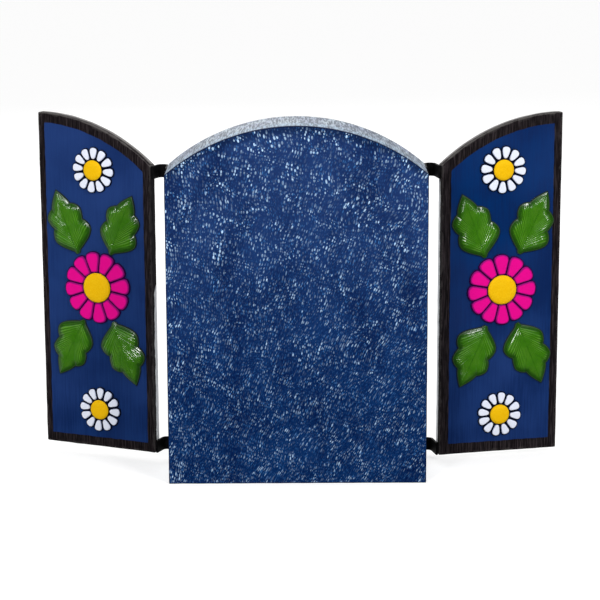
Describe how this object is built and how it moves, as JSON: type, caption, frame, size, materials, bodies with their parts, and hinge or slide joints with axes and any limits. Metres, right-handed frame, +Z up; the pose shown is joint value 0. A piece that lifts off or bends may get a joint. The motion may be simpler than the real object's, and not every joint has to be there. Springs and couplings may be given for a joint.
{
  "type": "retablo box",
  "caption": "Arched wooden box, open at the front, with strap-hinged doors that bear moulded paste flowers and leaves.",
  "frame": {"origin": "middle of the box's underside, on the surface it stands on", "axes": "+Z up; the box's open front faces -Y and its back panel +Y; the right door, seen from the open front, is on +X"},
  "size_m": [0.4161, 0.1087, 0.279],
  "materials": {
    "royal_blue_paint": "satin acrylic paint with pale brushed flecks",
    "brushed_white_paint": "thin white paint, brushed, with grey streaks",
    "navy_paint": "satin navy paint with a near-black border",
    "black_leather": "matt black leather",
    "white_petal_paint": "painted moulded paste, satin",
    "magenta_petal_paint": "painted moulded paste, satin",
    "green_leaf_paint": "painted moulded paste, glossy"
  },
  "bodies": {
    "box": {"back_panel": "royal_blue_paint", "arched_top": "brushed_white_paint", "right_side_board": "brushed_white_paint", "left_side_board": "brushed_white_paint", "bottom_board": "brushed_white_paint", "right_door_top_strap": "black_leather", "right_door_bottom_strap": "black_leather", "left_door_top_strap": "black_leather", "left_door_bottom_strap": "black_leather"},
    "right_door": {"right_door": "navy_paint", "right_door_top_daisy": "white_petal_paint", "right_door_rosette": "magenta_petal_paint", "right_door_bottom_daisy": "white_petal_paint", "right_door_upper_outer_leaf": "green_leaf_paint", "right_door_upper_inner_leaf": "green_leaf_paint", "right_door_lower_outer_leaf": "green_leaf_paint", "right_door_lower_inner_leaf": "green_leaf_paint"},
    "left_door": {"left_door": "navy_paint", "left_door_top_daisy": "white_petal_paint", "left_door_rosette": "magenta_petal_paint", "left_door_bottom_daisy": "white_petal_paint", "left_door_upper_outer_leaf": "green_leaf_paint", "left_door_upper_inner_leaf": "green_leaf_paint", "left_door_lower_outer_leaf": "green_leaf_paint", "left_door_lower_inner_leaf": "green_leaf_paint"}
  },
  "joints": [
    {"name": "right_door_hinge", "type": "hinge", "parent": "box", "child": "right_door", "pos_m": [0.1062, -0.0339, 0.12], "axis": [0, 0, 1], "range_deg": [-156.7, 93.3], "deforming": ["right_door_top_strap", "right_door_bottom_strap"]},
    {"name": "left_door_hinge", "type": "hinge", "parent": "box", "child": "left_door", "pos_m": [-0.1062, -0.0339, 0.12], "axis": [0, 0, -1], "range_deg": [-167, 83], "deforming": ["left_door_top_strap", "left_door_bottom_strap"]}
  ]
}
